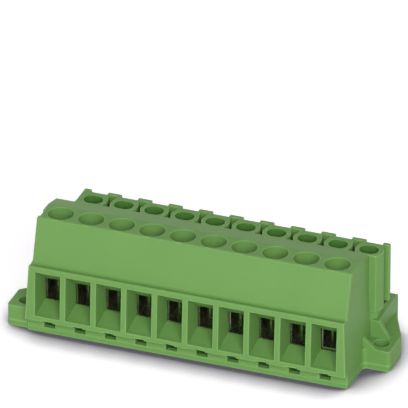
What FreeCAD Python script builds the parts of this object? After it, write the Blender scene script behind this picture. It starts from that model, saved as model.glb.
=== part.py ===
"""Ten-pole pluggable terminal block, in millimetres.

The origin is under the middle of the row of clamp screws, at the underside of the base. x runs
across the poles, y runs from the wire entries to the back, and z runs up. Lengths along y are
measured behind the front face of the base strip, and every piece is then set back as a whole, so
that the screw row lies over the x axis.
"""
import FreeCAD, Part
import math
import os
import re

import Sketcher

# Driving dimensions: name, value, what it measures
DIMENSIONS = (
    ("pitch", 5.08, "distance from one pole to the next"),
    ("poles", 10, "number of poles"),
    ("socket_shift", 2.54, "sideways shift of the socket row from the clamp row"),
    ("wall_end", 1.14, "end wall beyond the outermost clamp chamber"),
    ("body_top", 18.76, "height of the clamp row"),
    ("top_front", 3.01, "front edge of the clamp row's flat top"),
    ("top_flat_end", 7.60, "where the flat top starts to fall to the socket row"),
    ("top_edge_round", 0.40, "rounding of the top front edge"),
    ("clamp_back", 10.85, "back face of the clamp row"),
    ("ledge_back", 0.86, "foot of the sloped front, at the back of the ledge"),
    ("ledge_drop", 0.35, "fall of the ledge from the frame's edge to the slope's foot"),
    ("ledge_round", 0.80, "hollow rounding between the ledge and the sloped front"),
    ("frame_top", 11.93, "height of the frame round the wire entries"),
    ("frame_lean_top", 0.61, "frame's reach in front of the base strip at its top"),
    ("frame_lean_foot", 1.11, "frame's reach in front of the base strip at its foot"),
    ("frame_edge_round", 0.30, "rounding of the frame's top front edge"),
    ("end_flare", 0.50, "outward lean of an end wall from the frame's top down to the base strip"),
    ("end_edge_round", 0.35, "rounding of the edges between an end wall and the sloped front and top"),
    ("strip_height", 2.47, "height of the base strip"),
    ("cover_thickness", 1.00, "thickness of the plate that closes the base"),
    ("window_width", 4.10, "width of a wire entry at its mouth"),
    ("window_foot", 3.37, "lower edge of a wire entry at its mouth"),
    ("window_head", 10.88, "upper edge of a wire entry at its mouth"),
    ("mouth_back", 0.10, "inner end of an entry's straight mouth, where its funnel begins"),
    ("throat_front", 2.30, "inner end of an entry's funnel, where its throat begins"),
    ("entry_width", 3.50, "width of an entry's throat"),
    ("entry_lip", 0.05, "step from the open sleeve's floor up to the entry"),
    ("notch_width", 1.80, "width of a latch notch in the base strip"),
    ("notch_height", 1.70, "height of a latch notch above the cover"),
    ("notch_depth", 1.30, "depth of a latch notch behind the strip's face"),
    ("lug_setback", 0.60, "latch lug's setback behind the strip's face"),
    ("lug_height", 0.70, "height of a latch lug above the cover"),
    ("lug_clearance", 0.10, "clearance of a latch lug in its notch"),
    ("screw_line", 5.29, "distance of the screw axes behind the strip's face"),
    ("shaft_bore", 4.05, "bore that leads to a screw head"),
    ("screw_diameter", 3.00, "diameter of a screw's shank"),
    ("screw_clearance", 0.10, "clearance between shank and sleeve, on the diameter"),
    ("screw_tip_gap", 0.02, "gap between screw tip and current bar"),
    ("screw_tip_chamfer", 0.40, "chamfer of the screw tip"),
    ("head_diameter", 3.80, "diameter of a screw head"),
    ("head_height", 1.70, "height of a screw head"),
    ("slot_width", 0.80, "width of the driver slot"),
    ("slot_depth", 0.90, "depth of the driver slot"),
    ("web_thickness", 0.50, "web between a screw shaft and its clamp chamber"),
    ("web_clearance", 0.15, "clearance round the shank in that web"),
    ("sleeve_width", 3.90, "outer width of a clamping sleeve"),
    ("sleeve_depth", 4.00, "depth of a clamping sleeve along the wire"),
    ("sleeve_wall", 0.40, "side wall of a clamping sleeve"),
    ("sleeve_leg", 0.80, "thickness of the sleeve's lower leg"),
    ("sleeve_crown", 1.50, "thickness of the sleeve's threaded crown"),
    ("sleeve_chamfer", 0.35, "chamfer of the sleeve's outer edges"),
    ("sleeve_rest", 3.65, "height of the open sleeve above the underside"),
    ("sleeve_travel", 3.20, "lift of a sleeve from open to closed"),
    ("sleeve_play", 0.10, "clearance beside and above a sleeve"),
    ("chamber_play", 0.24, "clearance before and behind a sleeve"),
    ("last_lift", 0.40, "lift of the last pole's sleeve, which is left a little tightened"),
    ("closing_gap", 0.35, "gap left between leg and bar when a sleeve is closed"),
    ("crown_gap", 0.85, "gap between the bar and an open sleeve's crown"),
    ("bar_thickness", 0.50, "thickness of the current bar"),
    ("bar_width", 2.40, "width of the current bar"),
    ("bar_clearance", 0.15, "clearance beside the bar in its passage"),
    ("bar_headroom", 0.05, "clearance above the bar in its passage"),
    ("bar_setback", 0.35, "bar tip's setback in the clamp chamber"),
    ("bar_straight", 2.27, "straight run of the bar behind the clamp chamber"),
    ("jog_length", 1.90, "length over which the bar shifts sideways"),
    ("leaf_thickness", 0.30, "thickness of a contact leaf"),
    ("leaf_width", 1.90, "width of a contact leaf"),
    ("leaf_spread", 2.00, "outer distance of the two leaves at their root"),
    ("leaf_throat", 0.70, "gap of the two leaves where they grip a pin"),
    ("leaf_flare", 0.35, "reach of a leaf's flared end beyond the throat"),
    ("leaf_throat_height", 5.60, "height of the throat above the bar's underside"),
    ("leaf_height", 7.00, "height of the contact above the bar's underside"),
    ("socket_top", 17.87, "height of the socket row"),
    ("ramp_end", 11.45, "foot of the fall from the clamp row to the socket row"),
    ("socket_back", 15.00, "back face of the socket row"),
    ("socket_foot", 8.00, "underside of the socket row where it stands out"),
    ("carrier_shoulder", 12.20, "where the slanted front of the socket row's carrier ends"),
    ("socket_line", 12.73, "distance of the socket openings behind the strip's face"),
    ("opening_width", 3.10, "width of a socket opening"),
    ("opening_depth", 2.50, "depth of a socket opening"),
    ("opening_round", 1.20, "corner rounding of a socket opening"),
    ("post_width", 2.20, "width of a contact post, across the poles"),
    ("post_depth", 1.60, "depth of a contact post"),
    ("coding_front", 11.30, "front end of the coding slots"),
    ("coding_floor", 9.40, "floor of the coding slots"),
    ("coding_mouth", 1.40, "width of a coding slot at its ends"),
    ("coding_waist", 0.46, "width of a coding slot where the walls round the openings swell, unrounded"),
    ("coding_swell", 1.50, "rounding of those swellings"),
    ("relief_depth", 0.70, "hollow in the socket row's right end before and behind the last swelling"),
    ("tab_depth", 0.75, "reach of the tabs behind the socket row"),
    ("tab_width", 2.31, "width of a tab"),
    ("recess_front", 3.50, "front of the recess in the left end wall"),
    ("recess_back", 5.80, "back of the recess in the left end wall"),
    ("recess_depth", 0.45, "depth of that recess"),
    ("base_back", 20.10, "back edge of the base"),
    ("ridge_thickness", 1.10, "thickness of the ridge on the base"),
    ("ridge_height", 6.50, "height of the ridge"),
    ("ridge_wall", 0.80, "wall beyond the last socket chamber, out to the ridge's face"),
    ("shadow_gap_depth", 0.55, "depth of the gap between ridge and socket row"),
    ("ear_height", 3.57, "height of the ears"),
    ("ear_hole", 2.50, "hole in an ear"),
    ("ear_corner", 0.55, "rounding of the ears' upright corners"),
    ("ear_web", 0.80, "hollow rounding between the end wall and the right ear's front"),
    ("left_reach", 4.15, "reach of the left ear beyond the end wall"),
    ("left_front", 0.55, "front of the left ear"),
    ("left_side", 5.56, "back end of the left ear's side"),
    ("left_back", 8.80, "where the left ear meets the base strip"),
    ("left_hole_reach", 1.75, "left hole's distance from the end wall"),
    ("left_hole_line", 2.85, "left hole's distance behind the strip's face"),
    ("right_reach", 4.82, "reach of the right ear beyond the end wall"),
    ("right_front", 7.20, "front of the right ear"),
    ("right_side", 12.70, "back end of the right ear's side"),
    ("right_back", 19.40, "where the right ear meets the ridge"),
    ("right_hole_reach", 2.70, "right hole's distance from the end wall"),
    ("right_hole_line", 9.55, "right hole's distance behind the strip's face"),
    ("gusset_thickness", 0.80, "thickness of the gussets over the right ear"),
    ("gusset_rise", 2.00, "front gusset's height above the ear, at the wall"),
    ("gusset_reach", 2.65, "front gusset's reach from the end wall"),
    ("rear_gusset_front", 11.00, "front face of the rear gusset and of the ridge's side"),
    ("ridge_gusset_reach", 1.75, "rear gusset's reach from the ridge"),
)
ALIASES = {alias for alias, _, _ in DIMENSIONS}

# Places that several pieces share, worked out from the driving dimensions
FIRST_POLE = "(-pitch * (poles - 1) / 2)"
FIRST_SOCKET = f"({FIRST_POLE} + socket_shift)"
CHAMBER_WIDTH = "(sleeve_width + 2 * sleeve_play)"
HALF_BODY = f"(pitch * (poles - 1) / 2 + {CHAMBER_WIDTH} / 2 + wall_end)"
HALF_STRIP = f"({HALF_BODY} + end_flare)"
CHAMBER_FRONT = "(screw_line - sleeve_depth / 2 - chamber_play)"
CHAMBER_BACK = "(screw_line + sleeve_depth / 2 + chamber_play)"
SLEEVE_FLOOR = "(sleeve_rest + sleeve_leg)"
BAR_UNDERSIDE = f"({SLEEVE_FLOOR} + sleeve_travel + closing_gap)"
BAR_TOP = f"({BAR_UNDERSIDE} + bar_thickness)"
SLEEVE_TOP = f"({BAR_TOP} + crown_gap + sleeve_crown)"
CHAMBER_TOP = f"({SLEEVE_TOP} + sleeve_travel + sleeve_play)"
HEAD_SEAT = f"({CHAMBER_TOP} + web_thickness)"
SOCKET_LEFT = f"({FIRST_SOCKET} - pitch / 2)"
SOCKET_RIGHT = f"({FIRST_SOCKET} + pitch * (poles - 0.5))"
RIDGE_FACE = f"({FIRST_SOCKET} + pitch * (poles - 1) + opening_width / 2 + ridge_wall)"
RAMP_SLOPE = "((body_top - socket_top) / (ramp_end - top_flat_end))"
RAMP_AT_BACK = f"(body_top - (clamp_back - top_flat_end) * {RAMP_SLOPE})"
LEFT_EAR = f"(-{HALF_BODY} - left_reach)"
RIGHT_EAR = f"({HALF_BODY} + right_reach)"
JOG_START = f"({CHAMBER_BACK} + bar_straight)"
JOG_END = f"({JOG_START} + jog_length)"
LEFT_HOLE = f"(-{HALF_BODY} - left_hole_reach)"
RIGHT_HOLE = f"({HALF_BODY} + right_hole_reach)"

# How far one form is let into the next where they join, and a cut's run past the surface
OVERLAP = 0.5

# The same where a longer reach would show on the other side
TUCK = 0.1

# Driver slots stand as the screws were left: the first slot's turn in degrees, and from one to the next
FIRST_SLOT_TURN = 20
SLOT_TURN_STEP = 47

document = FreeCAD.newDocument("terminal_block")
sheet = document.addObject("Spreadsheet::Sheet", "dims")
for row, (alias, number, meaning) in enumerate(DIMENSIONS, start=1):
    sheet.set(f"A{row}", meaning)
    sheet.set(f"B{row}", str(number))
    sheet.setAlias(f"B{row}", alias)
document.recompute()


def bound(expression):
    """Expression over the sheet's names, written so that other objects can use it."""
    def named(word):
        return f"dims.{word[0]}" if word[0] in ALIASES else word[0]

    return re.sub(r"[a-z_]+", named, expression)


def number_of(expression):
    """Present value of an expression."""
    found = sheet.evalExpression(bound(expression))
    return float(getattr(found, "Value", found))


def bind(thing, settings):
    """Ties properties of an object to expressions."""
    for setting, expression in settings.items():
        thing.setExpression(setting, bound(expression))


def new_body(name):
    """Empty body whose label names its file."""
    body = document.addObject("PartDesign::Body", name)
    body.Label = name
    return body


def new_sketch(body, name, plane, offset="0"):
    """Sketch on one of the body's own planes, set off along the plane's normal."""
    sketch = body.newObject("Sketcher::SketchObject", name)
    role = f"{plane}_Plane"
    support = next(feature for feature in body.Origin.OriginFeatures if feature.Role == role)
    sketch.AttachmentSupport = [(support, "")]
    sketch.MapMode = "FlatFace"
    bind(sketch, {"AttachmentOffset.Base.z": offset})
    return sketch


def fix_point(sketch, geometry, point, across, up):
    """Ties a point of a sketch to its distances from the origin."""
    for kind, expression in (("DistanceX", across), ("DistanceY", up)):
        constraint = Sketcher.Constraint(kind, -1, 1, geometry, point, number_of(expression))
        index = sketch.addConstraint(constraint)
        bind(sketch, {f"Constraints[{index}]": expression})


def add_outline(sketch, corners):
    """Closed outline of straight lines through the corners."""
    points = [FreeCAD.Vector(number_of(across), number_of(up), 0) for across, up in corners]
    first = sketch.GeometryCount
    count = len(points)
    for index, point in enumerate(points):
        sketch.addGeometry(Part.LineSegment(point, points[(index + 1) % count]), False)
    for index in range(count):
        following = first + (index + 1) % count
        sketch.addConstraint(Sketcher.Constraint("Coincident", first + index, 2, following, 1))
    for index, (across, up) in enumerate(corners):
        fix_point(sketch, first + index, 1, across, up)


def round_corners(sketch, radius, *lines):
    """Rounds the corners at which the given lines of an outline start."""
    for line in lines:
        sketch.fillet(line, 1, number_of(radius), True, True)
        arc = max(index for index in range(sketch.GeometryCount) if "Arc" in sketch.Geometry[index].TypeId)
        index = sketch.addConstraint(Sketcher.Constraint("Radius", arc, number_of(radius)))
        bind(sketch, {f"Constraints[{index}]": radius})


def add_rectangle(sketch, left, right, low, high):
    """Upright rectangle between four limits."""
    add_outline(sketch, ((left, low), (right, low), (right, high), (left, high)))


def add_circle(sketch, across, up, diameter):
    """Circle about a point."""
    centre = FreeCAD.Vector(number_of(across), number_of(up), 0)
    normal = FreeCAD.Vector(0, 0, 1)
    circle = sketch.addGeometry(Part.Circle(centre, normal, number_of(diameter) / 2), False)
    fix_point(sketch, circle, 3, across, up)
    index = sketch.addConstraint(Sketcher.Constraint("Diameter", circle, number_of(diameter)))
    bind(sketch, {f"Constraints[{index}]": diameter})


def add_rounded_rectangle(sketch, across, up, width, depth, radius):
    """Rectangle about a point, with its corners rounded."""
    normal = FreeCAD.Vector(0, 0, 1)
    quarter = math.pi / 2
    arcs = []
    for turn, (side, end) in enumerate(((1, 1), (-1, 1), (-1, -1), (1, -1))):
        centre_across = f"{across} + {side} * ({width} / 2 - {radius})"
        centre_up = f"{up} + {end} * ({depth} / 2 - {radius})"
        centre = FreeCAD.Vector(number_of(centre_across), number_of(centre_up), 0)
        circle = Part.Circle(centre, normal, number_of(radius))
        arc = sketch.addGeometry(Part.ArcOfCircle(circle, turn * quarter, (turn + 1) * quarter), False)
        fix_point(sketch, arc, 3, centre_across, centre_up)
        arcs.append(arc)
    index = sketch.addConstraint(Sketcher.Constraint("Radius", arcs[0], number_of(radius)))
    bind(sketch, {f"Constraints[{index}]": radius})
    for arc in arcs[1:]:
        sketch.addConstraint(Sketcher.Constraint("Equal", arcs[0], arc))
    for arc, following in zip(arcs, arcs[1:] + arcs[:1]):
        start = sketch.getPoint(arc, 2)
        end = sketch.getPoint(following, 1)
        line = sketch.addGeometry(Part.LineSegment(start, end), False)
        sketch.addConstraint(Sketcher.Constraint("Tangent", arc, 2, line, 1))
        sketch.addConstraint(Sketcher.Constraint("Tangent", line, 2, following, 1))


def add_pad(body, sketch, length, symmetric=False, reverse=False):
    """Material grown from a sketch."""
    pad = body.newObject("PartDesign::Pad", f"{sketch.Name}_pad")
    pad.Profile = sketch
    pad.SideType = "Symmetric" if symmetric else "One side"
    pad.Reversed = reverse
    bind(pad, {"Length": length})
    return pad


def add_pocket(body, sketch, length, symmetric=False, reverse=False):
    """Material cut away along a sketch's normal."""
    pocket = body.newObject("PartDesign::Pocket", f"{sketch.Name}_pocket")
    pocket.Profile = sketch
    pocket.SideType = "Symmetric" if symmetric else "One side"
    pocket.Reversed = reverse
    bind(pocket, {"Length": length})
    return pocket


def add_row(body, name, features, count, span):
    """Copies of features in a row along x; the row becomes the body's tip."""
    row = body.newObject("PartDesign::LinearPattern", name)
    row.Originals = features
    axis = next(feature for feature in body.Origin.OriginFeatures if feature.Role == "X_Axis")
    row.Direction = (axis, [""])
    row.Mode = "Extent"
    bind(row, {"Length": span, "Occurrences": count})
    body.Tip = row
    return row


def add_base_outline(sketch):
    """Outline of the base with both ears, shared by the housing's flange and the cover."""
    add_outline(sketch, (
        (f"-{HALF_STRIP}", "0"),
        (HALF_STRIP, "0"),
        (HALF_STRIP, "right_front"),
        (RIGHT_EAR, "right_front"),
        (RIGHT_EAR, "right_side"),
        (RIDGE_FACE, "right_back"),
        (RIDGE_FACE, "base_back"),
        (f"-{HALF_STRIP}", "base_back"),
        (f"-{HALF_STRIP}", "left_back"),
        (LEFT_EAR, "left_side"),
        (LEFT_EAR, "left_front"),
        (f"-{HALF_STRIP}", "left_front"),
    ))
    round_corners(sketch, "ear_web", 2)
    round_corners(sketch, "ear_corner", 3, 4, 9, 10)


def add_ear_holes(body, bottom, height):
    """Screw holes through both ears."""
    holes = new_sketch(body, f"{body.Name}_ear_holes", "XY", bottom)
    add_circle(holes, LEFT_HOLE, "left_hole_line", "ear_hole")
    add_circle(holes, RIGHT_HOLE, "right_hole_line", "ear_hole")
    return add_pocket(body, holes, height, reverse=True)


def build_base_flange(body):
    """Strip and shelf at the foot of the housing, the ears and the ridge behind them."""
    flange = new_sketch(body, "flange", "XY", "cover_thickness")
    add_base_outline(flange)
    add_pad(body, flange, "strip_height - cover_thickness")

    left_ear = new_sketch(body, "left_ear", "XY", "cover_thickness")
    add_outline(left_ear, (
        (f"-{HALF_BODY} + {OVERLAP}", "left_front"),
        (f"-{HALF_BODY} + {OVERLAP}", "left_back"),
        (f"-{HALF_STRIP}", "left_back"),
        (LEFT_EAR, "left_side"),
        (LEFT_EAR, "left_front"),
    ))
    round_corners(left_ear, "ear_corner", 3, 4)
    add_pad(body, left_ear, "ear_height - cover_thickness")

    right_ear = new_sketch(body, "right_ear", "XY", "cover_thickness")
    add_outline(right_ear, (
        (f"{HALF_BODY} - {OVERLAP}", f"right_front - ear_web - {TUCK}"),
        (HALF_STRIP, f"right_front - ear_web - {TUCK}"),
        (HALF_STRIP, "right_front"),
        (RIGHT_EAR, "right_front"),
        (RIGHT_EAR, "right_side"),
        (RIDGE_FACE, "right_back"),
        (f"{HALF_BODY} - {OVERLAP}", "right_back"),
    ))
    round_corners(right_ear, "ear_web", 2)
    round_corners(right_ear, "ear_corner", 3, 4)
    add_pad(body, right_ear, "ear_height - cover_thickness")

    ridge = new_sketch(body, "ridge", "XY", "cover_thickness")
    add_outline(ridge, (
        (RIDGE_FACE, "rear_gusset_front"),
        (RIDGE_FACE, "base_back"),
        (f"-{HALF_STRIP}", "base_back"),
        (f"-{HALF_STRIP}", "base_back - ridge_thickness"),
        (f"{RIDGE_FACE} - ridge_thickness", "base_back - ridge_thickness"),
        (f"{RIDGE_FACE} - ridge_thickness", "rear_gusset_front"),
    ))
    add_pad(body, ridge, "ridge_height - cover_thickness")


def build_clamp_row(body):
    """Front half of the housing: ledge, sloped face and flat top, with the edges at both ends rounded."""
    clamp_row = new_sketch(body, "clamp_row", "YZ")
    ledge_slope = "(ledge_drop / (ledge_back + frame_lean_top))"
    add_outline(clamp_row, (
        ("0", "cover_thickness"),
        ("0", f"frame_top - frame_lean_top * {ledge_slope}"),
        ("ledge_back", "frame_top - ledge_drop"),
        ("top_front", "body_top"),
        ("top_flat_end", "body_top"),
        ("clamp_back", RAMP_AT_BACK),
        ("clamp_back", "cover_thickness"),
    ))
    round_corners(clamp_row, "ledge_round", 2)
    round_corners(clamp_row, "top_edge_round", 3)
    row = add_pad(body, clamp_row, f"2 * {HALF_BODY}", symmetric=True)
    document.recompute()

    top_of_ledge = number_of("frame_top - ledge_drop")
    end_wall = number_of(HALF_BODY)
    names = []
    for number, edge in enumerate(row.Shape.Edges, start=1):
        middle = edge.CenterOfMass
        upright = edge.BoundBox.YLength < 0.001
        if abs(abs(middle.x) - end_wall) < 0.001 and middle.z > top_of_ledge and not upright:
            names.append(f"Edge{number}")
    rounding = body.newObject("PartDesign::Fillet", "end_edges")
    rounding.Base = (row, names)
    bind(rounding, {"Radius": "end_edge_round"})


def build_frame(body):
    """Frame round the wire entries, whose ends run on into the leaning end walls."""
    frame = new_sketch(body, "frame", "YZ")
    add_outline(frame, (
        ("-frame_lean_foot", "strip_height"),
        ("clamp_back", "strip_height"),
        ("clamp_back", "frame_top"),
        ("-frame_lean_top", "frame_top"),
    ))
    add_pad(body, frame, f"2 * {HALF_STRIP}", symmetric=True)

    ends = new_sketch(body, "frame_ends", "XZ", "-clamp_back")
    for side in ("", "-"):
        add_outline(ends, (
            (f"{side}{HALF_STRIP}", "strip_height"),
            (f"{side}({HALF_STRIP} + {OVERLAP})", "strip_height"),
            (f"{side}({HALF_STRIP} + {OVERLAP})", f"frame_top + {OVERLAP}"),
            (f"{side}{HALF_BODY}", f"frame_top + {OVERLAP}"),
            (f"{side}{HALF_BODY}", "frame_top"),
        ))
    add_pocket(body, ends, f"clamp_back + frame_lean_foot + {OVERLAP}", reverse=True)

    ledge = new_sketch(body, "ledge", "YZ")
    face_lean = "(frame_lean_foot - frame_lean_top) / (frame_top - strip_height)"
    slope_lean = "(top_front - ledge_back) / (body_top - frame_top + ledge_drop)"
    add_outline(ledge, (
        (f"-frame_lean_top - {OVERLAP} * {face_lean}", f"frame_top - {OVERLAP}"),
        ("-frame_lean_top", "frame_top"),
        ("ledge_back", "frame_top - ledge_drop"),
        (f"ledge_back + (ledge_drop + {OVERLAP}) * {slope_lean}", f"frame_top + {OVERLAP}"),
        (f"-frame_lean_top - {OVERLAP}", f"frame_top + {OVERLAP}"),
        (f"-frame_lean_top - {OVERLAP}", f"frame_top - {OVERLAP}"),
    ))
    round_corners(ledge, "frame_edge_round", 1)
    round_corners(ledge, "ledge_round", 2)
    add_pocket(body, ledge, f"2 * {HALF_STRIP}", symmetric=True)


def build_socket_row(body):
    """Back half of the housing: socket row, its tabs and the block that carries it."""
    carrier = new_sketch(body, "carrier", "XY", "cover_thickness")
    add_outline(carrier, (
        (SOCKET_LEFT, f"clamp_back - {OVERLAP}"),
        (f"{HALF_BODY} - {OVERLAP}", f"clamp_back - {OVERLAP}"),
        (HALF_BODY, "clamp_back"),
        (RIDGE_FACE, "carrier_shoulder"),
        (RIDGE_FACE, "socket_back"),
        (SOCKET_LEFT, "socket_back"),
    ))
    add_pad(body, carrier, "socket_foot - cover_thickness")

    socket_row = new_sketch(body, "socket_row", "YZ", SOCKET_LEFT)
    add_outline(socket_row, (
        ("clamp_back", "socket_foot"),
        ("clamp_back", RAMP_AT_BACK),
        ("ramp_end", "socket_top"),
        ("socket_back + tab_depth", "socket_top"),
        ("socket_back + tab_depth", "socket_foot"),
    ))
    add_pad(body, socket_row, f"{SOCKET_RIGHT} - {SOCKET_LEFT}")


def build_gussets(body):
    """Two upright webs that stiffen the right ear."""
    front = new_sketch(body, "front_gusset", "XZ", "-right_front")
    add_outline(front, (
        (f"{HALF_BODY} - {OVERLAP}", f"ear_height - {TUCK}"),
        (f"{HALF_BODY} + gusset_reach", f"ear_height - {TUCK}"),
        (f"{HALF_BODY} + gusset_reach", "ear_height"),
        (HALF_BODY, "ear_height + gusset_rise"),
        (f"{HALF_BODY} - {OVERLAP}", "ear_height + gusset_rise"),
    ))
    add_pad(body, front, "gusset_thickness", reverse=True)

    rear = new_sketch(body, "rear_gusset", "XZ", "-rear_gusset_front")
    add_outline(rear, (
        (f"{HALF_BODY} - {OVERLAP}", f"ear_height - {TUCK}"),
        (f"{RIDGE_FACE} + ridge_gusset_reach", f"ear_height - {TUCK}"),
        (f"{RIDGE_FACE} + ridge_gusset_reach", "ear_height"),
        (RIDGE_FACE, "ridge_height"),
        (f"{RIDGE_FACE} - ridge_thickness", "ridge_height"),
        (f"{HALF_BODY} - {OVERLAP}", "ear_height + gusset_rise"),
    ))
    add_pad(body, rear, "gusset_thickness", reverse=True)


def cut_pole_spaces(body):
    """Everything that is cut once a pole: entry, clamp chamber, shafts, passage and socket."""
    mouth = new_sketch(body, "entry_mouth", "XZ", "-mouth_back")
    add_rectangle(mouth, f"{FIRST_POLE} - window_width / 2", f"{FIRST_POLE} + window_width / 2",
                  "window_foot", "window_head")
    mouth_cut = add_pocket(body, mouth, f"frame_lean_foot + mouth_back + {OVERLAP}", reverse=True)

    throat = new_sketch(body, "entry_throat", "XZ", "-throat_front")
    add_rectangle(throat, f"{FIRST_POLE} - entry_width / 2", f"{FIRST_POLE} + entry_width / 2",
                  f"{SLEEVE_FLOOR} + entry_lip", BAR_UNDERSIDE)
    throat_cut = add_pocket(body, throat, f"{CHAMBER_FRONT} - throat_front + {OVERLAP}")

    funnel = body.newObject("PartDesign::SubtractiveLoft", "entry_funnel")
    funnel.Profile = mouth
    funnel.Sections = [throat]

    chamber = new_sketch(body, "clamp_chamber", "XY", "cover_thickness")
    add_rectangle(chamber, f"{FIRST_POLE} - {CHAMBER_WIDTH} / 2", f"{FIRST_POLE} + {CHAMBER_WIDTH} / 2",
                  CHAMBER_FRONT, CHAMBER_BACK)
    chamber_cut = add_pocket(body, chamber, f"{CHAMBER_TOP} - cover_thickness", reverse=True)

    web_hole = new_sketch(body, "web_hole", "XY", HEAD_SEAT)
    add_circle(web_hole, FIRST_POLE, "screw_line", "screw_diameter + 2 * web_clearance")
    web_cut = add_pocket(body, web_hole, f"web_thickness + {TUCK}")

    shaft = new_sketch(body, "screw_shaft", "XY", HEAD_SEAT)
    add_circle(shaft, FIRST_POLE, "screw_line", "shaft_bore")
    shaft_cut = add_pocket(body, shaft, f"body_top - {HEAD_SEAT} + {OVERLAP}", reverse=True)

    before = "(bar_width / 2 + bar_clearance)"
    behind = "(leaf_width / 2 + bar_clearance)"
    passage = new_sketch(body, "bar_passage", "XY", "cover_thickness")
    add_outline(passage, (
        (f"{FIRST_POLE} - {before}", f"{CHAMBER_BACK} - {OVERLAP}"),
        (f"{FIRST_POLE} + {before}", f"{CHAMBER_BACK} - {OVERLAP}"),
        (f"{FIRST_POLE} + {before}", JOG_START),
        (f"{FIRST_SOCKET} + {behind}", JOG_END),
        (f"{FIRST_SOCKET} + {behind}", "socket_line"),
        (f"{FIRST_SOCKET} - {behind}", "socket_line"),
        (f"{FIRST_SOCKET} - {behind}", JOG_END),
        (f"{FIRST_POLE} - {before}", JOG_START),
    ))
    passage_cut = add_pocket(body, passage, f"{BAR_TOP} + bar_headroom - cover_thickness", reverse=True)

    socket = new_sketch(body, "socket_chamber", "XY", "cover_thickness")
    add_rounded_rectangle(socket, FIRST_SOCKET, "socket_line",
                          "opening_width", "opening_depth", "opening_round")
    socket_cut = add_pocket(body, socket, f"socket_top - cover_thickness + {OVERLAP}", reverse=True)

    gap = new_sketch(body, "tab_gap", "XY", f"socket_foot - {OVERLAP}")
    half_gap = "((pitch - tab_width) / 2)"
    add_rectangle(gap, f"{FIRST_SOCKET} - {half_gap}", f"{FIRST_SOCKET} + {half_gap}",
                  "socket_back", f"socket_back + tab_depth + {OVERLAP}")
    gap_cut = add_pocket(body, gap, f"socket_top - socket_foot + 2 * {OVERLAP}", reverse=True)

    notch = new_sketch(body, "latch_notch", "XY", "cover_thickness")
    add_rectangle(notch, f"{FIRST_POLE} - notch_width / 2", f"{FIRST_POLE} + notch_width / 2",
                  f"-frame_lean_foot - {OVERLAP}", "notch_depth")
    notch_cut = add_pocket(body, notch, "notch_height", reverse=True)

    cuts = [mouth_cut, throat_cut, funnel, chamber_cut, web_cut, shaft_cut]
    cuts += [passage_cut, socket_cut, gap_cut, notch_cut]
    add_row(body, "pole_row", cuts, "poles", "pitch * (poles - 1)")


def cut_coding_slots(body):
    """Slots between the socket openings, waisted where the walls round the openings swell."""
    slot = new_sketch(body, "coding_slot", "XY", "coding_floor")
    middle = f"({SOCKET_LEFT} + pitch)"
    add_outline(slot, (
        (f"{middle} - coding_mouth / 2", "coding_front"),
        (f"{middle} + coding_mouth / 2", "coding_front"),
        (f"{middle} + coding_waist / 2", "socket_line"),
        (f"{middle} + coding_mouth / 2", "socket_back"),
        (f"{middle} - coding_mouth / 2", "socket_back"),
        (f"{middle} - coding_waist / 2", "socket_line"),
    ))
    round_corners(slot, "coding_swell", 2, 5)
    slot_cut = add_pocket(body, slot, f"socket_top - coding_floor + {OVERLAP}", reverse=True)
    add_row(body, "coding_row", [slot_cut], "poles - 1", "pitch * (poles - 2)")


def cut_ends(body):
    """Recess in the left end wall, relief of the socket row's right end and the gap under it."""
    recess = new_sketch(body, "end_recess", "XY", "frame_top - ledge_drop")
    add_rectangle(recess, f"-{HALF_BODY} - {OVERLAP}", f"-{HALF_BODY} + recess_depth",
                  "recess_front", "recess_back")
    add_pocket(body, recess, f"body_top - frame_top + ledge_drop + {OVERLAP}", reverse=True)

    relief = new_sketch(body, "end_relief", "XY", "socket_foot")
    hollow = f"({SOCKET_RIGHT} - relief_depth)"
    add_outline(relief, (
        (hollow, f"clamp_back - {OVERLAP}"),
        (f"{SOCKET_RIGHT} + {OVERLAP}", f"clamp_back - {OVERLAP}"),
        (f"{SOCKET_RIGHT} + {OVERLAP}", "socket_back"),
        (hollow, "socket_back"),
        (hollow, "2 * socket_line - coding_front"),
        (SOCKET_RIGHT, "socket_line"),
        (hollow, "coding_front"),
    ))
    round_corners(relief, "coding_swell", 5)
    add_pocket(body, relief, f"socket_top - socket_foot + {OVERLAP}", reverse=True)

    gap = new_sketch(body, "shadow_gap", "XY", "ridge_height")
    add_rectangle(gap, f"{RIDGE_FACE} - shadow_gap_depth", f"{RIDGE_FACE} + {OVERLAP}",
                  f"clamp_back - {OVERLAP}", f"socket_back + {OVERLAP}")
    add_pocket(body, gap, "socket_foot - ridge_height", reverse=True)


def build_housing():
    """Moulded housing."""
    body = new_body("housing")
    build_clamp_row(body)
    build_frame(body)
    build_base_flange(body)
    build_socket_row(body)
    build_gussets(body)
    cut_pole_spaces(body)
    cut_coding_slots(body)
    cut_ends(body)
    body.Tip = add_ear_holes(body, "0", f"ear_height + {OVERLAP}")
    bind(body, {"Placement.Base.y": "-screw_line"})
    return body


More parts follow.
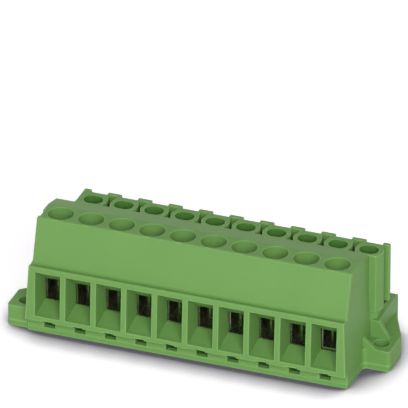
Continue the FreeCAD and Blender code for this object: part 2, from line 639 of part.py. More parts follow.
def build_base_cover():
    """Plate that closes the base, with a post under every contact and a lug in every notch."""
    body = new_body("base_cover")
    plate = new_sketch(body, "plate", "XY")
    add_base_outline(plate)
    add_pad(body, plate, "cover_thickness")
    add_ear_holes(body, "0", f"cover_thickness + {OVERLAP}")

    post = new_sketch(body, "post", "XY", f"cover_thickness - {OVERLAP}")
    add_rectangle(post, f"{FIRST_SOCKET} - post_width / 2", f"{FIRST_SOCKET} + post_width / 2",
                  "socket_line - post_depth / 2", "socket_line + post_depth / 2")
    post_pad = add_pad(body, post, f"{BAR_UNDERSIDE} - cover_thickness + {OVERLAP}")

    lug = new_sketch(body, "lug", "XY", f"cover_thickness - {OVERLAP}")
    half_lug = "(notch_width / 2 - lug_clearance)"
    add_rectangle(lug, f"{FIRST_POLE} - {half_lug}", f"{FIRST_POLE} + {half_lug}",
                  "lug_setback", "notch_depth - lug_clearance")
    lug_pad = add_pad(body, lug, f"lug_height + {OVERLAP}")
    add_row(body, "cover_row", [post_pad, lug_pad], "poles", "pitch * (poles - 1)")
    bind(body, {"Placement.Base.y": "-screw_line"})
    return body


def place_at_pole(body, index, line="0", lift="0", turn=0):
    """Sets a body over its pole, turned about the upright axis."""
    body.Placement = FreeCAD.Placement(FreeCAD.Vector(), FreeCAD.Rotation(FreeCAD.Vector(0, 0, 1), turn))
    bind(body, {
        "Placement.Base.x": f"{FIRST_POLE} + pitch * {index}",
        "Placement.Base.y": line,
        "Placement.Base.z": lift,
    })


def build_clamp_screw(index):
    """Slotted screw, turned in one piece, standing on the current bar."""
    body = new_body(f"clamp_screw_{index + 1:02d}")
    profile = new_sketch(body, f"{body.Name}_profile", "XZ")
    tip = f"({BAR_TOP} + screw_tip_gap)"
    shank = "(screw_diameter / 2)"
    head = "(head_diameter / 2)"
    add_outline(profile, (
        ("0", tip),
        (f"{shank} - screw_tip_chamfer", tip),
        (shank, f"{tip} + screw_tip_chamfer"),
        (shank, HEAD_SEAT),
        (head, HEAD_SEAT),
        (head, f"{HEAD_SEAT} + head_height"),
        ("0", f"{HEAD_SEAT} + head_height"),
    ))
    turned = body.newObject("PartDesign::Revolution", f"{body.Name}_turned")
    turned.Profile = profile
    turned.ReferenceAxis = (profile, ["V_Axis"])
    turned.Angle = 360

    slot = new_sketch(body, f"{body.Name}_slot", "XZ")
    add_rectangle(slot, "-slot_width / 2", "slot_width / 2", f"{HEAD_SEAT} + head_height - slot_depth",
                  f"{HEAD_SEAT} + head_height + {OVERLAP}")
    add_pocket(body, slot, f"head_diameter + 2 * {OVERLAP}", symmetric=True)
    place_at_pole(body, index, turn=FIRST_SLOT_TURN + index * SLOT_TURN_STEP)
    return body


def build_clamp_sleeve(index):
    """Rectangular clamping sleeve with a threaded crown, closed round the wire and the bar."""
    body = new_body(f"clamp_sleeve_{index + 1:02d}")
    section = new_sketch(body, f"{body.Name}_section", "XZ")
    half_width = "sleeve_width / 2"
    add_outline(section, (
        (f"{half_width} - sleeve_chamfer", "sleeve_rest"),
        (half_width, "sleeve_rest + sleeve_chamfer"),
        (half_width, f"{SLEEVE_TOP} - sleeve_chamfer"),
        (f"{half_width} - sleeve_chamfer", SLEEVE_TOP),
        (f"-{half_width} + sleeve_chamfer", SLEEVE_TOP),
        (f"-{half_width}", f"{SLEEVE_TOP} - sleeve_chamfer"),
        (f"-{half_width}", "sleeve_rest + sleeve_chamfer"),
        (f"-{half_width} + sleeve_chamfer", "sleeve_rest"),
    ))
    inner = "(sleeve_width / 2 - sleeve_wall)"
    add_rectangle(section, f"-{inner}", inner, SLEEVE_FLOOR, f"{SLEEVE_TOP} - sleeve_crown")
    add_pad(body, section, "sleeve_depth", symmetric=True)

    thread = new_sketch(body, f"{body.Name}_thread", "XY", f"{SLEEVE_TOP} + {OVERLAP}")
    add_circle(thread, "0", "0", "screw_diameter + screw_clearance")
    add_pocket(body, thread, f"sleeve_crown + 2 * {OVERLAP}")
    place_at_pole(body, index, lift="last_lift" if index == number_of("poles") - 1 else "0")
    return body


def build_contact(index):
    """Stamped contact: current bar with a sideways jog and two sprung leaves at its end."""
    body = new_body(f"contact_{index + 1:02d}")
    half_bar = "(bar_width / 2)"
    half_leaf = "(leaf_width / 2)"
    bar = new_sketch(body, f"{body.Name}_bar", "XY", BAR_UNDERSIDE)
    add_outline(bar, (
        (f"-{half_bar}", f"{CHAMBER_FRONT} + bar_setback"),
        (half_bar, f"{CHAMBER_FRONT} + bar_setback"),
        (half_bar, JOG_START),
        (f"socket_shift + {half_leaf}", JOG_END),
        (f"socket_shift + {half_leaf}", "socket_line + leaf_spread / 2"),
        (f"socket_shift - {half_leaf}", "socket_line + leaf_spread / 2"),
        (f"socket_shift - {half_leaf}", JOG_END),
        (f"-{half_bar}", JOG_START),
    ))
    add_pad(body, bar, "bar_thickness")

    leaves = new_sketch(body, f"{body.Name}_leaves", "YZ", "socket_shift")
    root = f"({BAR_TOP} - {TUCK})"
    throat = f"({BAR_UNDERSIDE} + leaf_throat_height)"
    top = f"({BAR_UNDERSIDE} + leaf_height)"
    for side in ("-", "+"):
        add_outline(leaves, (
            (f"socket_line {side} leaf_spread / 2", root),
            (f"socket_line {side} leaf_spread / 2", f"{BAR_TOP} + leaf_thickness"),
            (f"socket_line {side} (leaf_throat / 2 + leaf_thickness)", throat),
            (f"socket_line {side} (leaf_throat / 2 + leaf_thickness + leaf_flare)", top),
            (f"socket_line {side} (leaf_throat / 2 + leaf_flare)", top),
            (f"socket_line {side} leaf_throat / 2", throat),
            (f"socket_line {side} (leaf_spread / 2 - leaf_thickness)", f"{BAR_TOP} + leaf_thickness"),
            (f"socket_line {side} (leaf_spread / 2 - leaf_thickness)", root),
        ))
    add_pad(body, leaves, "leaf_width", symmetric=True)
    place_at_pole(body, index, line="-screw_line")
    return body


pieces = [build_housing(), build_base_cover()]
for pole in range(int(number_of("poles"))):
    pieces.append(build_clamp_screw(pole))
    pieces.append(build_clamp_sleeve(pole))
    pieces.append(build_contact(pole))
document.recompute()

for item in document.Objects:
    if "Invalid" in item.State or "Error" in item.State:
        raise RuntimeError(f"{item.Label} did not build: {item.State}")
for piece in pieces:
    if piece.Shape.isNull() or not piece.Shape.isValid() or len(piece.Shape.Solids) != 1:
        raise RuntimeError(f"{piece.Label} is not one sound solid")

os.makedirs("parts", exist_ok=True)
for piece in pieces:
    piece.Shape.exportStep(f"parts/{piece.Label}.step")
    box = piece.Shape.BoundBox
    print(f"{piece.Label}: {piece.Shape.Volume:.2f} mm3, x {box.XMin:.2f} to {box.XMax:.2f}, "
          f"y {box.YMin:.2f} to {box.YMax:.2f}, z {box.ZMin:.2f} to {box.ZMax:.2f}")
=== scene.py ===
"""Looks of a ten-pole pluggable terminal block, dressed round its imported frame."""

import logging
import math
from collections.abc import Callable
from dataclasses import dataclass

import bmesh
import bpy
from mathutils import Matrix, Vector

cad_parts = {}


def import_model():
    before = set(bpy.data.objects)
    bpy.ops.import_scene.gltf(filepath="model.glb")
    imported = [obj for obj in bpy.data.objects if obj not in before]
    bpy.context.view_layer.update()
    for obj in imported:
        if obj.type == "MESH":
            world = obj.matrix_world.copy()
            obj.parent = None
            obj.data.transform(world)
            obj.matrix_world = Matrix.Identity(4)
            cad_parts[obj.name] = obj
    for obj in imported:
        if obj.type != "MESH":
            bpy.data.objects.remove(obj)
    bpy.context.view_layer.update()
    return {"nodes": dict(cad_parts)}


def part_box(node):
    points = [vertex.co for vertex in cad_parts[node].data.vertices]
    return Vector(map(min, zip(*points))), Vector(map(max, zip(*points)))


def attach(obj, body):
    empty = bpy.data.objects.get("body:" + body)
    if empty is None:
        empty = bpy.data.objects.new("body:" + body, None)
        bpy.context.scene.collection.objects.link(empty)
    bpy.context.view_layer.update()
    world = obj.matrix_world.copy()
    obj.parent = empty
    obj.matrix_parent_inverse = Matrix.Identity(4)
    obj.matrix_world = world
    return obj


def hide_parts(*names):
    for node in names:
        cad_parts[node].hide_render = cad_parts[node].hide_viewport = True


LOG = logging.getLogger("terminal_block")
MILLIMETRE = 0.001

# The rows of poles, in millimetres: the sockets stand half a pitch beside the clamps
POLES = 10
PITCH = 5.08
FIRST_POLE = -PITCH * (POLES - 1) / 2
FIRST_SOCKET = FIRST_POLE + PITCH / 2

# Places of a colour Mix node's sockets, whose names its number and vector sockets share
MIX_SHARE = 0
MIX_FIRST = 6
MIX_SECOND = 7
MIX_RESULT = 2


def linear(colour: str) -> tuple[float, float, float, float]:
    """Turns an sRGB hex colour to linear light.

    Args:
        colour: Six hex digits after a hash.

    Returns:
        Red, green, blue and an alpha of one.
    """
    dark_limit, dark_slope = 0.04045, 12.92
    offset, power = 0.055, 2.4
    channels = [int(colour[start:start + 2], 16) / 255 for start in (1, 3, 5)]
    turned = [value / dark_slope if value <= dark_limit
              else ((value + offset) / (1 + offset)) ** power for value in channels]
    return (*turned, 1.0)


def add_node(tree: bpy.types.NodeTree, kind: str, settings: dict | None = None,
             links: dict | None = None) -> bpy.types.Node:
    """Adds a shader node.

    Args:
        tree: The node tree that gets the node.
        kind: Blender's name of the node type.
        settings: Values by input socket, named or by its place, or by node property name.
        links: Output sockets by the input socket that they feed, named or by its place.

    Returns:
        The new node.
    """
    node = tree.nodes.new(kind)
    for name, value in (settings or {}).items():
        if isinstance(name, int) or name in node.inputs:
            node.inputs[name].default_value = value
        else:
            setattr(node, name, value)
    for name, output in (links or {}).items():
        tree.links.new(output, node.inputs[name])
    return node


def new_material(name: str) -> bpy.types.Material:
    """Adds a material with an empty node tree.

    Args:
        name: The material's name.

    Returns:
        The new material.
    """
    material = bpy.data.materials.new(name)
    material.use_nodes = True
    material.node_tree.nodes.clear()
    return material


def millimetres(*sizes: float) -> tuple[float, ...]:
    """Sizes in millimetres turned to metres."""
    return tuple(size * MILLIMETRE for size in sizes)


def per_metre(size_mm: float) -> float:
    """Noise scale whose largest cells measure size_mm."""
    return 1 / (size_mm * MILLIMETRE)


@dataclass(frozen=True)
class MouldedPolyamide:
    """Polyamide 66, injection moulded in a lightly eroded tool."""

    # Eroded steel leaves a satin skin with a faint even grain, and the melt's flow leaves soft
    # clouds of tone. Outer edges get a painted highlight: their colour is mixed toward a paler
    # green.
    name: str = "polyamide_66_moulded"
    colour: str = "#6b964f"
    cloud_colour: str = "#65904b"
    painted_highlight_colour: str = "#8dbd72"
    roughness: float = 0.56
    roughness_spread: float = 0.07
    ior: float = 1.53
    specular: float = 0.26
    glow_through: float = 0.06
    glow_reach_mm: float = 0.6
    # Reach, share and limits of the painted highlight on thin outer edges
    highlight_reach_mm: float = 0.28
    highlight_strength: float = 0.70
    highlight_limits: tuple[float, float] = (1.0, 0.35)
    highlight_samples: int = 12
    cloud_mm: float = 9.0
    cloud_detail: float = 3.0
    # The real grain is too fine to show at 6 pixels a millimetre, so it is drawn coarser
    grain_mm: float = 0.22
    grain_detail: float = 2.0
    grain_height_mm: float = 0.004
    grain_strength: float = 0.5

    def make(self) -> bpy.types.Material:
        """Builds the material.

        Returns:
            The new material.
        """
        material = new_material(self.name)
        tree = material.node_tree
        place = add_node(tree, "ShaderNodeTexCoord").outputs["Object"]
        clouds = add_node(tree, "ShaderNodeTexNoise",
                          {"Scale": per_metre(self.cloud_mm), "Detail": self.cloud_detail},
                          {"Vector": place}).outputs["Fac"]
        grain = add_node(tree, "ShaderNodeTexNoise",
                         {"Scale": per_metre(self.grain_mm), "Detail": self.grain_detail},
                         {"Vector": place}).outputs["Fac"]
        colour = add_node(tree, "ShaderNodeMix",
                          {"data_type": "RGBA", MIX_FIRST: linear(self.colour),
                           MIX_SECOND: linear(self.cloud_colour)},
                          {MIX_SHARE: clouds}).outputs[MIX_RESULT]
        # Painted highlight: where the moulding is thin, at its outer edges, the colour is mixed
        # toward a paler green
        thickness = add_node(tree, "ShaderNodeAmbientOcclusion",
                             {"Distance": self.highlight_reach_mm * MILLIMETRE,
                              "samples": self.highlight_samples,
                              "inside": True, "only_local": True}).outputs["AO"]
        thick, thin = self.highlight_limits
        edges = add_node(tree, "ShaderNodeMapRange",
                         {"From Min": thick, "From Max": thin,
                          "To Min": 0.0, "To Max": self.highlight_strength},
                         {"Value": thickness}).outputs["Result"]
        highlighted = add_node(tree, "ShaderNodeMix",
                        {"data_type": "RGBA", MIX_SECOND: linear(self.painted_highlight_colour)},
                        {MIX_SHARE: edges, MIX_FIRST: colour}).outputs[MIX_RESULT]
        rough = add_node(tree, "ShaderNodeMapRange",
                         {"To Min": self.roughness - self.roughness_spread,
                          "To Max": self.roughness + self.roughness_spread},
                         {"Value": clouds}).outputs["Result"]
        bump = add_node(tree, "ShaderNodeBump",
                        {"Strength": self.grain_strength,
                         "Distance": self.grain_height_mm * MILLIMETRE},
                        {"Height": grain}).outputs["Normal"]
        skin = add_node(tree, "ShaderNodeBsdfPrincipled",
                        {"IOR": self.ior, "Specular IOR Level": self.specular,
                         "Subsurface Weight": self.glow_through,
                         "Subsurface Scale": self.glow_reach_mm * MILLIMETRE},
                        {"Base Color": highlighted, "Roughness": rough, "Normal": bump})
        add_node(tree, "ShaderNodeOutputMaterial", links={"Surface": skin.outputs["BSDF"]})
        return material


@dataclass(frozen=True)
class PlatedMetal:
    """Stamped or turned metal under a thin plating."""

    # The plating is bright, and the drawing and turning marks below it spread its shine
    name: str
    colour: str
    roughness: float
    roughness_share: tuple[float, float] = (0.8, 1.25)
    # The real marks are too fine to show at 6 pixels a millimetre, so they are drawn coarser
    mark_mm: float = 0.15
    mark_detail: float = 3.0
    mark_height_mm: float = 0.002
    mark_strength: float = 0.4
    stretch: float = 0.12

    def make(self) -> bpy.types.Material:
        """Builds the material.

        Returns:
            The new material.
        """
        material = new_material(self.name)
        tree = material.node_tree
        place = add_node(tree, "ShaderNodeTexCoord").outputs["Object"]
        along = add_node(tree, "ShaderNodeMapping", {"Scale": (1.0, 1.0, self.stretch)},
                         {"Vector": place}).outputs["Vector"]
        marks = add_node(tree, "ShaderNodeTexNoise",
                         {"Scale": per_metre(self.mark_mm), "Detail": self.mark_detail},
                         {"Vector": along}).outputs["Fac"]
        smooth, dull = (share * self.roughness for share in self.roughness_share)
        rough = add_node(tree, "ShaderNodeMapRange", {"To Min": smooth, "To Max": dull},
                         {"Value": marks}).outputs["Result"]
        bump = add_node(tree, "ShaderNodeBump",
                        {"Strength": self.mark_strength,
                         "Distance": self.mark_height_mm * MILLIMETRE},
                        {"Height": marks}).outputs["Normal"]
        metal = add_node(tree, "ShaderNodeBsdfPrincipled",
                         {"Base Color": linear(self.colour), "Metallic": 1.0},
                         {"Roughness": rough, "Normal": bump})
        add_node(tree, "ShaderNodeOutputMaterial", links={"Surface": metal.outputs["BSDF"]})
        return material


def dress(piece: bpy.types.Object, material: bpy.types.Material) -> None:
    """Gives a piece one material all over."""
    piece.data.materials.clear()
    piece.data.materials.append(material)


def take_alone(piece: bpy.types.Object) -> None:
    """Selects one piece and nothing else, and makes it the one in hand."""
    bpy.ops.object.select_all(action="DESELECT")
    piece.select_set(True)
    bpy.context.view_layer.objects.active = piece


def select_edges(piece: bpy.types.Object,
                 chosen: Callable[[bmesh.types.BMEdge], bool]) -> int:
    """Selects the edges of the piece in hand that pass a test, in edit mode.

    Args:
        piece: The piece in edit mode.
        chosen: Says whether an edge is wanted.

    Returns:
        How many edges are selected.
    """
    bpy.ops.mesh.select_mode(type="EDGE")
    bpy.ops.mesh.select_all(action="DESELECT")
    mesh = bmesh.from_edit_mesh(piece.data)
    wanted = [edge for edge in mesh.edges if chosen(edge)]
    for edge in wanted:
        edge.select_set(True)
    bmesh.update_edit_mesh(piece.data)
    return len(wanted)


def select_corners(piece: bpy.types.Object,
                   chosen: Callable[[bmesh.types.BMVert], bool]) -> None:
    """Selects the corners of the piece in hand that pass a test, in edit mode.

    Args:
        piece: The piece in edit mode.
        chosen: Says whether a corner is wanted.
    """
    bpy.ops.mesh.select_mode(type="VERT")
    bpy.ops.mesh.select_all(action="DESELECT")
    mesh = bmesh.from_edit_mesh(piece.data)
    for corner in mesh.verts:
        if chosen(corner):
            corner.select_set(True)
    bmesh.update_edit_mesh(piece.data)


def move_corners(piece: bpy.types.Object, low: tuple[float, ...], high: tuple[float, ...],
                 shift: tuple[float, ...]) -> None:
    """Moves the corners of the piece in hand that lie in a box, in edit mode.

    Args:
        piece: The piece in edit mode.
        low: Lowest corner of the box, in metres.
        high: Highest corner of the box, in metres.
        shift: How far the corners move, in metres.
    """
    select_corners(piece, lambda corner: all(
        bottom < place < top for bottom, place, top in zip(low, corner.co, high)))
    bpy.ops.transform.translate(value=shift)


@dataclass(frozen=True)
class SoftEdges:
    """Small radii that the tool leaves on the outer edges of a piece, in metres and radians."""

    radius: float
    upright_only: bool = False
    upright_share: float = 0.9
    segments: int = 2
    sharp_angle: float = math.radians(32)
    smooth_angle: float = math.radians(40)
    flat_angle: float = math.radians(0.3)
    merge_distance: float = 1e-6
    # How many radii long an edge has to be, and each edge that it meets
    own_room: float = 2.5
    end_room: float = 1.6

    def takes(self, edge: bmesh.types.BMEdge) -> bool:
        """Says whether an edge stands out, is sharp, and has room for the radius.

        Args:
            edge: An edge of the piece in edit mode.

        Returns:
            True where the edge is to be rounded.
        """
        if not edge.is_manifold or not edge.is_convex:
            return False
        length = edge.calc_length()
        if edge.calc_face_angle() < self.sharp_angle or length < self.own_room * self.radius:
            return False
        rise = abs(edge.verts[0].co.z - edge.verts[1].co.z)
        if self.upright_only and rise < self.upright_share * length:
            return False
        near = [other for corner in edge.verts for other in corner.link_edges]
        return min(other.calc_length() for other in near) > self.end_room * self.radius

    def copy_of(self, node: bpy.types.Object, name: str,
                shape: Callable[[bpy.types.Object], None] | None = None) -> bpy.types.Object:
        """Copies a node with its outer edges rounded.

        Args:
            node: The node whose solid is copied.
            name: Name of the new piece.
            shape: Small changes made in edit mode before the edges are rounded.

        Returns:
            The new piece, in the node's place.
        """
        piece = bpy.data.objects.new(name, node.data.copy())
        bpy.context.scene.collection.objects.link(piece)
        take_alone(piece)
        bpy.ops.mesh.customdata_custom_splitnormals_clear()
        bpy.ops.object.mode_set(mode="EDIT")
        bpy.ops.mesh.select_all(action="SELECT")
        bpy.ops.mesh.remove_doubles(threshold=self.merge_distance)
        bpy.ops.mesh.mark_sharp(clear=True)
        bpy.ops.mesh.dissolve_limited(angle_limit=self.flat_angle)
        if shape:
            shape(piece)
        count = select_edges(piece, self.takes)
        bpy.ops.mesh.bevel(offset=self.radius, segments=self.segments, clamp_overlap=False)
        bpy.ops.object.mode_set(mode="OBJECT")
        bpy.ops.object.shade_smooth_by_angle(angle=self.smooth_angle)
        # Full weight keeps the large flat faces flat in the light
        weighting = piece.modifiers.new("weighting", "WEIGHTED_NORMAL")
        weighting.keep_sharp = True
        weighting.weight = 100
        bpy.ops.object.modifier_apply(modifier=weighting.name)
        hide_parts(node.name)
        LOG.info("%s: %d edges rounded", name, count)
        return piece


@dataclass(frozen=True)
class PaintedRecessShade:
    """Painted shade on the inner walls of the plug sockets and latch notches, in millimetres."""

    # Moulded like the rest. Their deeper green is painted shade, fitted to the photo, whose sockets
    # and notches are darker than the lamps make them. It stays as deep from every side and in other
    # light.
    skin: MouldedPolyamide = MouldedPolyamide("polyamide_66_painted_shade", "#4a7a32", "#46742f", "#5f8f45")
    socket_line: float = 7.44
    socket_across: float = 1.60
    socket_along: float = 1.30
    socket_heights: tuple[float, float] = (4.0, 17.86)
    upright_limit: float = 0.9
    notch_across: float = 0.95
    notch_lines: tuple[float, float] = (-5.15, -2.80)
    notch_heights: tuple[float, float] = (1.02, 2.80)

    def beside_opening(self, x: float, first: float) -> float:
        """Distance across the poles from the nearest of the openings that start at first."""
        nearest = min(max(round((x - first) / PITCH), 0), POLES - 1)
        return abs(x - first - nearest * PITCH)

    def in_socket(self, face: bpy.types.MeshPolygon) -> bool:
        """Says whether a face is an upright wall inside a plug socket.

        Args:
            face: A face of a moulded piece.

        Returns:
            True for a socket's wall.
        """
        x, y, z = face.center / MILLIMETRE
        low, high = self.socket_heights
        inside = (self.beside_opening(x, FIRST_SOCKET) < self.socket_across
                  and abs(y - self.socket_line) < self.socket_along)
        return inside and low < z < high and abs(face.normal.z) < self.upright_limit

    def in_notch(self, face: bpy.types.MeshPolygon) -> bool:
        """Says whether a face lies inside a latch notch.

        Args:
            face: A face of a moulded piece.

        Returns:
            True for a face of a notch or of the lug in it.
        """
        x, y, z = face.center / MILLIMETRE
        front, back = self.notch_lines
        low, high = self.notch_heights
        inside = self.beside_opening(x, FIRST_POLE) < self.notch_across
        return inside and front < y < back and low < z < high

    def dress(self, piece: bpy.types.Object) -> None:
        """Gives a moulded piece's socket and notch walls their painted shade.

        Args:
            piece: A moulded piece that has its main material.
        """
        piece.data.materials.append(self.skin.make())
        for face in piece.data.polygons:
            if self.in_socket(face) or self.in_notch(face):
                face.material_index = 1


@dataclass(frozen=True)
class Mouldings:
    """Housing and base cover, both moulded in the same green polyamide, in millimetres."""

    skin: MouldedPolyamide = MouldedPolyamide()
    # Painted shade on the walls inside the sockets and notches
    recess_shade: PaintedRecessShade = PaintedRecessShade()
    edges: SoftEdges = SoftEdges(0.10 * MILLIMETRE)
    # Boxes round moved corners pass both ends of the block, and their corners by a little
    past_ends: float = 40.0
    slack: float = 0.05
    throat_head: float = 8.0
    throat_lines: tuple[float, float] = (-3.1, -2.1)
    throat_rise: float = 0.55
    notch_back: float = -3.99
    notch_top: float = 2.70
    notch_deepening: float = 1.1
    lug_lines: tuple[float, float] = (-6.0, -3.5)
    lug_top: float = 1.70
    lug_drop: float = 0.58

    def open_housing(self, piece: bpy.types.Object) -> None:
        """Lifts the throats' ceilings and deepens the latch notches, in edit mode.

        Args:
            piece: The housing in edit mode.
        """
        front, back = self.throat_lines
        move_corners(piece,
                     millimetres(-self.past_ends, front, self.throat_head - self.slack),
                     millimetres(self.past_ends, back, self.throat_head + self.slack),
                     millimetres(0, 0, self.throat_rise))
        move_corners(piece,
                     millimetres(-self.past_ends, self.notch_back - self.slack, 0),
                     millimetres(self.past_ends, self.notch_back + self.slack,
                                 self.notch_top + self.slack),
                     millimetres(0, self.notch_deepening, 0))

    def lower_lugs(self, piece: bpy.types.Object) -> None:
        """Lowers the latch lugs, which hardly show in the photo's notches, in edit mode.

        Args:
            piece: The base cover in edit mode.
        """
        front, back = self.lug_lines
        move_corners(piece,
                     millimetres(-self.past_ends, front, self.lug_top - self.slack),
                     millimetres(self.past_ends, back, self.lug_top + self.slack),
                     millimetres(0, 0, -self.lug_drop))

    def build(self, nodes: dict[str, bpy.types.Object]) -> None:
        """Builds and dresses the moulded pieces.

        Args:
            nodes: The frame's objects by node name.
        """
        material = self.skin.make()
        for name, shape, slot in (("housing", self.open_housing, "housing_polyamide"),
                                  ("base_cover", self.lower_lugs, "cover_polyamide")):
            piece = self.edges.copy_of(nodes[name], f"{name}_moulding", shape)
            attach(piece, "block")
            dress(piece, material)
            # Paints shade on the walls inside the sockets and notches
            self.recess_shade.dress(piece)
            LOG.info("%s dressed as %s", name, material.name)


@dataclass(frozen=True)
class Thread:
    """Rolled metric thread on a screw's shank, right-handed, in millimetres."""

    crest: float = 1.49
    root: float = 1.22
    shank: float = 1.50
    sink: float = 0.03
    tolerance: float = 0.1
    seat_tolerance: float = 0.01
    merge_distance: float = 0.0001
    pitch: float = 0.5
    first: float = 8.95
    # Shares of the pitch at which the ridge reaches its crest, leaves it and ends
    flanks: tuple[float, float, float] = (0.42, 0.54, 0.96)
    turns: int = 11
    steps: int = 20

    def narrow_shank(self, piece: bpy.types.Object, axis: Vector, seat: float) -> None:
        """Draws a screw's shank in to the thread's root, in edit mode.

        Args:
            piece: The screw in edit mode.
            axis: A point on the screw's axis, in metres.
            seat: Height of the head's underside, in metres.
        """
        low, high = millimetres(self.crest - self.tolerance, self.crest + self.tolerance)
        top = seat + self.seat_tolerance * MILLIMETRE
        select_corners(piece, lambda corner: (
            low < (corner.co - axis).xy.length < high and corner.co.z < top))
        share = self.root / self.shank
        bpy.ops.transform.resize(value=(share, share, 1.0), center_override=axis)

    def add_ridge(self, axis: Vector) -> bpy.types.Object:
        """Winds the thread's ridge round a screw's axis.

        Args:
            axis: A point on the screw's axis, in metres.

        Returns:
            The ridge, closed at both ends.
        """
        root, crest, first, rise = millimetres(self.root - self.sink, self.crest, self.first,
                                               self.pitch)
        up, down, end = (first + rise * share for share in self.flanks)
        corners = [(root, 0, first), (crest, 0, up), (crest, 0, down), (root, 0, end)]
        data = bpy.data.meshes.new("ridge")
        data.from_pydata(corners, [(0, 1), (1, 2), (2, 3), (3, 0)], [])
        ridge = bpy.data.objects.new("ridge", data)
        bpy.context.scene.collection.objects.link(ridge)
        take_alone(ridge)
        winding = ridge.modifiers.new("winding", "SCREW")
        winding.axis = "Z"
        winding.steps = self.steps
        winding.render_steps = self.steps
        winding.iterations = self.turns
        winding.screw_offset = rise
        winding.use_smooth_shade = False
        bpy.ops.object.modifier_apply(modifier=winding.name)
        bpy.ops.object.mode_set(mode="EDIT")
        bpy.ops.mesh.select_all(action="SELECT")
        bpy.ops.mesh.remove_doubles(threshold=self.merge_distance * MILLIMETRE)
        bpy.ops.mesh.fill_holes(sides=len(corners))
        bpy.ops.mesh.select_all(action="SELECT")
        bpy.ops.mesh.normals_make_consistent(inside=False)
        bpy.ops.transform.translate(value=(axis.x, axis.y, 0))
        bpy.ops.object.mode_set(mode="OBJECT")
        return ridge


@dataclass(frozen=True)
class Clampwork:
    """Screws, sleeves and contacts of all poles."""

    head_height_mm: float = 1.70
    thread: Thread = Thread()
    screw_edges: SoftEdges = SoftEdges(0.07 * MILLIMETRE)
    sleeve_edges: SoftEdges = SoftEdges(0.06 * MILLIMETRE, upright_only=True)
    # Zinc is a light grey, nickel a little warmer and glossier, tin a little darker and duller
    screw: PlatedMetal = PlatedMetal("steel_zinc_plated", "#c9c7bd", 0.30)
    sleeve: PlatedMetal = PlatedMetal("steel_nickel_plated", "#cfcabb", 0.26)
    contact: PlatedMetal = PlatedMetal("copper_alloy_tin_plated", "#c6c2b8", 0.38)

    def build(self, nodes: dict[str, bpy.types.Object]) -> None:
        """Builds and dresses the metal pieces of every pole.

        Args:
            nodes: The frame's objects by node name.
        """
        zinc, nickel, tin = self.screw.make(), self.sleeve.make(), self.contact.make()
        for pole in range(1, POLES + 1):
            self.build_screw(nodes[f"clamp_screw_{pole:02d}"], pole, zinc)
            self.build_sleeve(nodes[f"clamp_sleeve_{pole:02d}"], pole, nickel)
            dress(nodes[f"contact_{pole:02d}"], tin)
            LOG.info("pole %d built and dressed", pole)

    def build_screw(self, node: bpy.types.Object, pole: int,
                    zinc: bpy.types.Material) -> None:
        """Builds one screw with its thread.

        Args:
            node: The screw's node.
            pole: The pole's number, from one.
            zinc: The screw's material.
        """
        low, high = (Vector(corner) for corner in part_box(node.name))
        axis = (low + high) / 2
        seat = high.z - self.head_height_mm * MILLIMETRE
        piece = self.screw_edges.copy_of(
            node, f"clamp_screw_{pole:02d}_turned",
            lambda screw: self.thread.narrow_shank(screw, axis, seat))
        ridge = self.thread.add_ridge(axis)
        take_alone(piece)
        ridge.select_set(True)
        bpy.ops.object.join()
        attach(piece, f"screw_{pole:02d}")
        dress(piece, zinc)

    def build_sleeve(self, node: bpy.types.Object, pole: int,
                     nickel: bpy.types.Material) -> None:
        """Builds one clamping sleeve.

        Args:
            node: The sleeve's node.
            pole: The pole's number, from one.
            nickel: The sleeve's material.
        """
        piece = self.sleeve_edges.copy_of(node, f"clamp_sleeve_{pole:02d}_bent")
        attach(piece, f"sleeve_{pole:02d}")
        dress(piece, nickel)


def background_rays(tree: bpy.types.NodeTree) -> bpy.types.NodeSocket:
    """Tells the rays that show the background from those that only light the block.

    Args:
        tree: The node tree of the floor or the world.

    Returns:
        One for camera, glossy and transmission rays, otherwise zero.
    """
    rays = add_node(tree, "ShaderNodeLightPath").outputs
    seen = rays["Is Camera Ray"]
    for kind in ("Is Glossy Ray", "Is Transmission Ray"):
        seen = add_node(tree, "ShaderNodeMath", {"operation": "MAXIMUM"},
                        {0: seen, 1: rays[kind]}).outputs["Value"]
    return seen


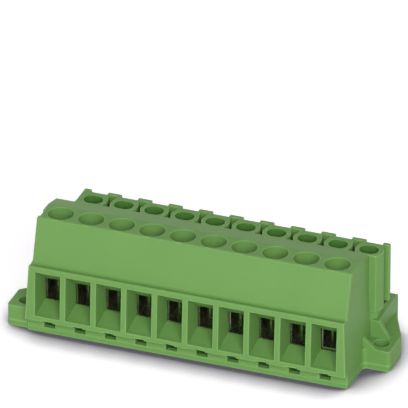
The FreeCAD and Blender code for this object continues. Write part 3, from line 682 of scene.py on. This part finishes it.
@dataclass(frozen=True)
class WhiteCard:
    """Matt white card under the block, which shows white and keeps the block's shadow."""

    # Card scatters light evenly. Where the block closes off its light, a painted shadow darkens its
    # colour and glow softly.
    name: str = "white_card"
    lit_colour: str = "#e7e7e8"
    seen_colour: str = "#bcb5bd"
    shadow_colour: str = "#58565d"
    glow: float = 0.74
    shadow_reach_mm: float = 11.0
    shadow_limits: tuple[float, float] = (0.46, 0.86)
    shadow_samples: int = 24

    def make(self) -> bpy.types.Material:
        """Builds the material.

        Returns:
            The new material.
        """
        material = new_material(self.name)
        tree = material.node_tree
        seen = background_rays(tree)
        # Painted shadow: near the block the card's colour and glow are mixed toward the shadow
        # colour
        openness = add_node(tree, "ShaderNodeAmbientOcclusion",
                            {"Distance": self.shadow_reach_mm * MILLIMETRE,
                             "samples": self.shadow_samples}).outputs["AO"]
        closed, free = self.shadow_limits
        light = add_node(tree, "ShaderNodeMapRange", {"From Min": closed, "From Max": free},
                         {"Value": openness}).outputs["Result"]
        shade = add_node(tree, "ShaderNodeMix",
                         {"data_type": "RGBA", MIX_FIRST: linear(self.shadow_colour),
                          MIX_SECOND: linear("#ffffff")},
                         {MIX_SHARE: light}).outputs[MIX_RESULT]
        paper = add_node(tree, "ShaderNodeMix",
                         {"data_type": "RGBA", MIX_FIRST: linear(self.lit_colour),
                          MIX_SECOND: linear(self.seen_colour)},
                         {MIX_SHARE: seen}).outputs[MIX_RESULT]
        shaded = add_node(tree, "ShaderNodeMix", {"data_type": "RGBA", "blend_type": "MULTIPLY"},
                          {MIX_SHARE: seen, MIX_FIRST: paper,
                           MIX_SECOND: shade}).outputs[MIX_RESULT]
        card = add_node(tree, "ShaderNodeBsdfDiffuse", links={"Color": shaded})
        strength = add_node(tree, "ShaderNodeMath", {"operation": "MULTIPLY", 1: self.glow},
                            {0: seen}).outputs["Value"]
        glow = add_node(tree, "ShaderNodeEmission", links={"Color": shade, "Strength": strength})
        both = add_node(tree, "ShaderNodeAddShader",
                        links={0: card.outputs["BSDF"], 1: glow.outputs["Emission"]})
        add_node(tree, "ShaderNodeOutputMaterial", links={"Surface": both.outputs["Shader"]})
        return material


@dataclass(frozen=True)
class SoftLamp:
    """Square soft lamp, in metres and watts."""

    name: str
    place: tuple[float, float, float]
    side: float
    power: float

    def hang(self, aim: Vector) -> None:
        """Hangs the lamp at its place.

        Args:
            aim: What it faces.
        """
        lamp = bpy.data.lights.new(self.name, "AREA")
        lamp.size = self.side
        lamp.energy = self.power
        holder = bpy.data.objects.new(self.name, lamp)
        bpy.context.scene.collection.objects.link(holder)
        turn = (aim - Vector(self.place)).to_track_quat("-Z", "Y").to_matrix().to_4x4()
        holder.matrix_world = Matrix.Translation(self.place) @ turn


@dataclass(frozen=True)
class Studio:
    """White floor, soft lamps, and the camera at the photograph's angle, in metres."""

    floor: WhiteCard = WhiteCard()
    floor_span: float = 2.4
    sky_low: float = 0.45
    sky_high: float = 0.16
    lamps: tuple[SoftLamp, ...] = (
        SoftLamp("key", (0.35, -0.70, 0.47), 0.5, 7.4),
        SoftLamp("fill", (-0.65, -0.45, 0.30), 0.6, 1.2),
        SoftLamp("back", (-0.55, 0.75, 0.03), 0.1, 2.4),
    )
    lamp_aim: tuple[float, float, float] = (0.0, 0.004, 0.009)
    azimuth: float = math.radians(20.5)
    elevation: float = math.radians(29.0)
    distance: float = 1.263
    focal_px: float = 8126.0
    image_px: float = 408.0
    sensor_mm: float = 36.0
    clip_end: float = 10.0
    aim_across: float = -0.00271
    aim_up: float = -0.02415
    strip_front: float = -0.00529

    def build(self) -> None:
        """Builds the floor, the world, the lamps and the camera."""
        self.add_floor()
        self.add_world()
        for lamp in self.lamps:
            lamp.hang(Vector(self.lamp_aim))
        self.add_camera()
        LOG.info("studio ready")

    def add_floor(self) -> None:
        """Adds the wide white floor."""
        bpy.ops.mesh.primitive_plane_add(size=self.floor_span, location=(0, 0, 0))
        floor = bpy.context.object
        floor.name = "floor"
        dress(floor, self.floor.make())

    def add_world(self) -> None:
        """Adds a pale sky that shows white behind the block and lights it a little."""
        world = bpy.data.worlds.new("studio_world")
        bpy.context.scene.world = world
        world.use_nodes = True
        tree = world.node_tree
        tree.nodes.clear()
        direction = add_node(tree, "ShaderNodeTexCoord").outputs["Generated"]
        height = add_node(tree, "ShaderNodeSeparateXYZ", links={"Vector": direction}).outputs["Z"]
        dome = add_node(tree, "ShaderNodeMapRange",
                        {"To Min": self.sky_low, "To Max": self.sky_high},
                        {"Value": height}).outputs["Result"]
        # A number Mix node uses the sockets that follow its share: 2 and 3
        strength = add_node(tree, "ShaderNodeMix", {"data_type": "FLOAT", 3: 1.0},
                            {MIX_SHARE: background_rays(tree), 2: dome}).outputs["Result"]
        sky = add_node(tree, "ShaderNodeBackground", {"Color": linear("#ffffff")},
                       {"Strength": strength})
        add_node(tree, "ShaderNodeOutputWorld", links={"Surface": sky.outputs["Background"]})

    def add_camera(self) -> None:
        """Sets the camera where the photograph was taken from."""
        sin_a, cos_a = math.sin(self.azimuth), math.cos(self.azimuth)
        sin_e, cos_e = math.sin(self.elevation), math.cos(self.elevation)
        right = Vector((cos_a, sin_a, 0))
        ahead = Vector((-sin_a * cos_e, cos_a * cos_e, -sin_e))
        up = Vector((-sin_a * sin_e, cos_a * sin_e, cos_e))
        eye = (Vector((0, self.strip_front, 0)) - self.distance * ahead
               - self.aim_across * right - self.aim_up * up)
        data = bpy.data.cameras.new("camera")
        data.sensor_width = self.sensor_mm
        data.lens = self.focal_px / self.image_px * self.sensor_mm
        data.clip_end = self.clip_end
        camera = bpy.data.objects.new("camera", data)
        bpy.context.scene.collection.objects.link(camera)
        turn = Matrix((right, up, -ahead)).transposed().to_4x4()
        camera.matrix_world = Matrix.Translation(eye) @ turn
        bpy.context.scene.camera = camera


def main() -> None:
    """Builds the block's looks in order."""
    logging.basicConfig(level=logging.INFO, format="%(message)s")
    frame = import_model()
    bpy.context.scene.view_settings.view_transform = "Standard"
    bpy.ops.object.select_all(action="DESELECT")
    Studio().build()
    Mouldings().build(frame["nodes"])
    Clampwork().build(frame["nodes"])


if __name__ == "__main__":
    main()
